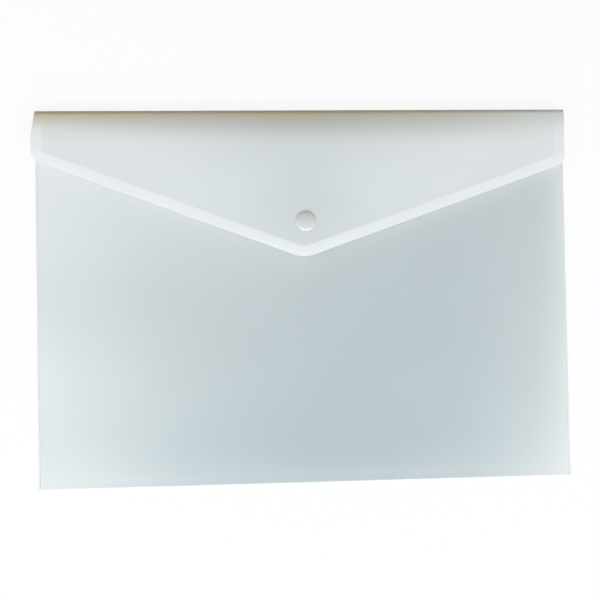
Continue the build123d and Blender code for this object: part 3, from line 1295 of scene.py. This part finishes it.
@dataclass
class Snap:
    """Four-piece press snap: cap and stud on the flap, socket and inner cap on the front panel.

    Attributes:
        plan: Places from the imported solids.
        post_radius: Rivet post of a cap.
        head_radius: Rivet head on the end of a post.
        head_height: Thickness of the rivet head.
        cap_height: Whole cap.
        cap_dome: Rise of the cap's dome.
        brim: Straight edge under the bevel.
        bevel_start: Share of the cap's radius at which its bevel begins.
        bevel_soft: Share of the bevel in which it begins gently.
        crown_share: Share of the cap's radius that has fewer points.
        crown_points: Points of the profile there.
        rim_points: Points of the profile from there to the brim.
        cap_cuts: Roundings of the cap's underside, in the order of its corners.
        flange: Thickness of the discs of the stud and the socket.
        bulb_radius: Widest part of the stud's knob.
        neck_radius: Narrow part of the stud's knob.
        neck_share: Share of the knob's height at which its neck ends.
        bulb_share: Share of the knob's height at which its widest part begins.
        bore_radius: Hole for a post.
        recess_radius: Hollow for a rivet head.
        recess_depth: Depth of that hollow in the stud's knob.
        stud_cuts: Roundings of the stud, in the order of its corners.
        lip_radius: Mouth of the socket.
        lip_depth: How far the lip reaches in.
        lip_height: Height of the lip.
        ring_wall: Wall of the socket's ring.
        socket_cuts: Roundings of the socket, in the order of its corners.
        sides: Sides of a turned surface.
        sharp_degrees: Angle from which an edge is sharp.
    """

    plan: Plan
    post_radius: float = 1.2
    head_radius: float = 1.7
    head_height: float = 0.4
    cap_height: float = 1.7
    cap_dome: float = 1.2
    brim: float = 0.35
    bevel_start: float = 0.8
    bevel_soft: float = 0.25
    crown_share: float = 0.6
    crown_points: int = 8
    rim_points: int = 25
    cap_cuts: tuple[float, ...] = (0.1, 0.0, 0.0, 0.1, 0.12, 0.0)
    flange: float = 0.8
    bulb_radius: float = 2.2
    neck_radius: float = 1.9
    neck_share: float = 0.48
    bulb_share: float = 0.6
    bore_radius: float = 1.25
    recess_radius: float = 1.75
    recess_depth: float = 0.45
    stud_cuts: tuple[float, ...] = (0.0, 0.15, 0.2, 0.15, 0.1, 0.1, 0.2, 0.05, 0.0, 0.0)
    lip_radius: float = 2.4
    lip_depth: float = 0.4
    lip_height: float = 0.7
    ring_wall: float = 1.6
    socket_cuts: tuple[float, ...] = (0.0, 0.15, 0.2, 0.15, 0.3, 0.22, 0.1, 0.0, 0.0, 0.0)
    sides: int = 72
    sharp_degrees: float = 40.0

    def turned(self, name: str, node: str, profile: Array, body: Body) -> bpy.types.Object:
        """Turns a profile about the snap's axis: radius times cosine and sine, at the profile's heights.

        Args:
            name: Name of the piece.
            node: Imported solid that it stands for.
            profile: Radius and height of each point.
            body: Body that it moves with.

        Returns:
            The turned piece.
        """
        turn = np.linspace(0.0, 2.0 * math.pi, self.sides + 1)[None, :]
        radius, height = profile[:, :1], profile[:, 1:]
        x, y = radius * np.cos(turn), self.plan.snap_y + radius * np.sin(turn)
        piece = grid_object(name, np.stack((x, y, height + 0.0 * turn), axis=-1))
        close_surface(piece, self.sharp_degrees)
        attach(piece, body.value)
        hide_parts(node)
        return piece

    def cap_profile(self, node: str, side: float) -> Array:
        """Draws a riveted cap: a dome, a bevel, a short straight brim, a flat seat, a post and its head.

        The dome is a parabola, and the bevel a straight fall from its start to the brim, whose beginning is
        rounded off as a hyperbola.

        Args:
            node: Packed cap to follow.
            side: 1 for a dome that points up and -1 for one that points down.

        Returns:
            The profile from the crown to the middle of the rivet head.
        """
        low, high = node_box(node)
        radius = (high[0] - low[0]) / 2
        crown, end = (high[2], low[2]) if side > 0 else (low[2], high[2])
        base, seat = crown - side * self.cap_height, end + side * self.head_height
        inner = np.linspace(0.0, self.crown_share, self.crown_points)
        share = np.concatenate((inner, np.linspace(self.crown_share, 1.0, self.rim_points)[1:]))
        t = np.clip((share - self.bevel_start) / (1.0 - self.bevel_start), 0.0, 1.0)
        bevel = (self.cap_height - self.cap_dome - self.brim) * (1.0 - soft_start(t, self.bevel_soft))
        lift = self.brim + bevel + self.cap_dome * (1.0 - share**2)
        dome = np.stack((radius * share, base + side * lift), axis=-1)
        underside = [
            (radius, base),
            (self.post_radius, base),
            (self.post_radius, seat),
            (self.head_radius, seat),
            (self.head_radius, end),
            (0.0, end),
        ]
        return np.concatenate((dome, rounded_corners(underside, self.cap_cuts, closed=False)))

    def stud_profile(self) -> Array:
        """Draws the stud: a disc, a neck and a rounded knob with a hollow for the rivet head.

        Returns:
            The closed profile.
        """
        low, high = node_box("flap_snap_stud")
        radius, under = high[0], high[2] - self.flange
        knob, hollow = low[2] - under, low[2] + self.recess_depth
        corners = [
            (self.bore_radius, high[2]),
            (radius, high[2]),
            (radius, under),
            (self.neck_radius, under),
            (self.neck_radius, under + knob * self.neck_share),
            (self.bulb_radius, under + knob * self.bulb_share),
            (self.bulb_radius, low[2]),
            (self.recess_radius, low[2]),
            (self.recess_radius, hollow),
            (self.bore_radius, hollow),
        ]
        return rounded_corners(corners, self.stud_cuts, closed=True)

    def socket_profile(self) -> Array:
        """Draws the socket: a disc and a ring whose lip reaches inwards.

        Returns:
            The closed profile.
        """
        low, high = node_box("front_snap_socket")
        radius, floor = high[0], low[2] + self.flange
        ring, cavity = self.lip_radius + self.ring_wall, self.lip_radius + self.lip_depth
        ledge = high[2] - self.lip_height
        corners = [
            (self.bore_radius, low[2]),
            (radius, low[2]),
            (radius, floor),
            (ring, floor),
            (ring, high[2]),
            (self.lip_radius, high[2]),
            (self.lip_radius, ledge),
            (cavity, ledge),
            (cavity, floor),
            (self.bore_radius, floor),
        ]
        return rounded_corners(corners, self.socket_cuts, closed=True)

    def build(self) -> list[bpy.types.Object]:
        """Turns the four pieces.

        Returns:
            The pieces, from the outer cap to the inner one.
        """
        outer_cap = self.cap_profile("flap_snap_cap", 1.0)
        inner_cap = self.cap_profile("front_snap_cap", -1.0)
        return [
            self.turned("snap_cap", "flap_snap_cap", outer_cap, Body.FLAP),
            self.turned("snap_stud", "flap_snap_stud", self.stud_profile(), Body.FLAP),
            self.turned("snap_socket", "front_snap_socket", self.socket_profile(), Body.POCKET),
            self.turned("snap_inner_cap", "front_snap_cap", inner_cap, Body.POCKET),
        ]


@dataclass(frozen=True)
class Lamp:
    """A soft rectangular lamp that faces the middle of the wallet.

    Attributes:
        name: Name of the lamp.
        place: Where it hangs, in metres.
        size: Its two sides, in metres.
        power: Its power, in watts.
    """

    name: str
    place: Point
    size: Pair
    power: float

    def build(self) -> None:
        """Hangs the lamp."""
        light = bpy.data.lights.new(self.name, "AREA")
        light.shape = "RECTANGLE"
        light.size, light.size_y = self.size
        light.energy = self.power
        made = bpy.data.objects.new(self.name, light)
        made.location = self.place
        made.visible_camera = False
        x, y, z = self.place
        made.rotation_euler = (math.atan2(math.hypot(x, y), z), 0.0, math.atan2(x, -y))
        bpy.context.scene.collection.objects.link(made)


@dataclass
class Studio:
    """Pale floor, soft lamps and the camera.

    Attributes:
        floor_half: Half the side of the floor, in metres.
        floor_drop: Gap under the wallet, in metres.
        floor_colour: Colour of the floor.
        floor_white: Share of the floor's brightness that no shadow takes away.
        room_colour: Colour of the room's even light.
        room_strength: Strength of that light.
        lamps: Lamps round the wallet.
        lens: Focal length, in millimetres on a sensor 36 mm wide.
        clip_start: Distance from which the camera sees, in metres.
        camera_place: Where the camera stands, in metres.
        camera_turn: Its turns about X, Y and Z, in degrees, the last applied first.
    """

    floor_half: float = 6.0
    floor_drop: float = 0.0002
    floor_colour: Colour = (0.86, 0.86, 0.86)
    floor_white: float = 0.88
    room_colour: Colour = (0.80, 0.90, 1.0)
    room_strength: float = 0.2
    lamps: tuple[Lamp, ...] = (
        Lamp("front_softbox", (0.0, -0.92, 0.92), (2.0, 0.5), 15.3),
        Lamp("front_strip", (0.0, -0.95, 0.31), (1.6, 0.07), 3.3),
        Lamp("left_softbox", (-0.42, 0.03, 0.33), (1.0, 0.45), 1.3),
        Lamp("right_softbox", (0.42, 0.03, 0.33), (1.0, 0.45), 1.05),
    )
    lens: float = 54.0
    clip_start: float = 0.01
    camera_place: Point = (-0.0400, -0.0159, 0.5672)
    camera_turn: Point = (1.378, -3.633, -0.947)

    def floor(self) -> None:
        """Lays a white floor that keeps a soft shadow."""
        graph = Graph.of_material("pale_floor")
        ray = graph.add("ShaderNodeLightPath")
        seen = ray.outputs["Is Camera Ray"]
        for kind in ("Is Glossy Ray", "Is Transmission Ray"):
            seen = graph.chain("ShaderNodeMath", seen, ray.outputs[kind], operation="MAXIMUM")
        share = graph.chain("ShaderNodeMath", seen, self.floor_white, operation="MULTIPLY")
        paper = graph.chain("ShaderNodeBsdfDiffuse", self.floor_colour)
        glow = graph.chain("ShaderNodeEmission", WHITE, 1.0)
        both = graph.chain("ShaderNodeMixShader", share, paper, glow)
        side = np.array((-1.0, 1.0)) * self.floor_half / MM
        x, y = np.meshgrid(side, side)
        made = grid_object("floor", np.stack((x, y, np.full_like(x, -self.floor_drop / MM)), axis=-1))
        made.data.materials.append(graph.output(both))

    def world(self) -> None:
        """Fills the room with dim even light, white where the camera looks at it."""
        world = bpy.data.worlds.new("room")
        graph = Graph(world)
        ray = graph.add("ShaderNodeLightPath")
        dim = graph.chain("ShaderNodeBackground", self.room_colour, self.room_strength)
        white = graph.chain("ShaderNodeBackground", WHITE, 1.0)
        both = graph.chain("ShaderNodeMixShader", ray.outputs["Is Camera Ray"], dim, white)
        graph.add("ShaderNodeOutputWorld", Surface=both)
        bpy.context.scene.world = world

    def camera(self) -> None:
        """Stands the camera where the photograph was taken from."""
        data = bpy.data.cameras.new("camera")
        data.lens = self.lens
        data.clip_start = self.clip_start
        made = bpy.data.objects.new("camera", data)
        made.location = self.camera_place
        made.rotation_mode = "ZYX"
        made.rotation_euler = [math.radians(turn) for turn in self.camera_turn]
        bpy.context.scene.collection.objects.link(made)
        bpy.context.scene.camera = made

    def build(self) -> None:
        """Sets up the floor, the light and the camera."""
        self.floor()
        self.world()
        for lamp in self.lamps:
            lamp.build()
        self.camera()
        bpy.context.scene.view_settings.view_transform = "Standard"


def main() -> None:
    """Builds the wallet piece by piece, dresses it and sets up the studio."""
    logging.basicConfig(level=logging.INFO, format="%(name)s: %(message)s")
    plan = Plan.read()
    sheet, bead, plastic = FrostedSheet().material(), MeltedBead().material(), SnapPlastic().material()
    swell = Swell()
    folded = FoldedSheet(plan, swell)
    dressed = [
        ([folded.build(), PocketFront(plan, swell, folded).build()], sheet),
        (SideWelds().build(), bead),
        (Snap(plan).build(), plastic),
    ]
    for pieces, material in dressed:
        for piece in pieces:
            piece.data.materials.append(material)
            LOG.info("%s: %d faces, %s", piece.name, len(piece.data.polygons), material.name)
    Studio().build()


if __name__ == "__main__":
    main()
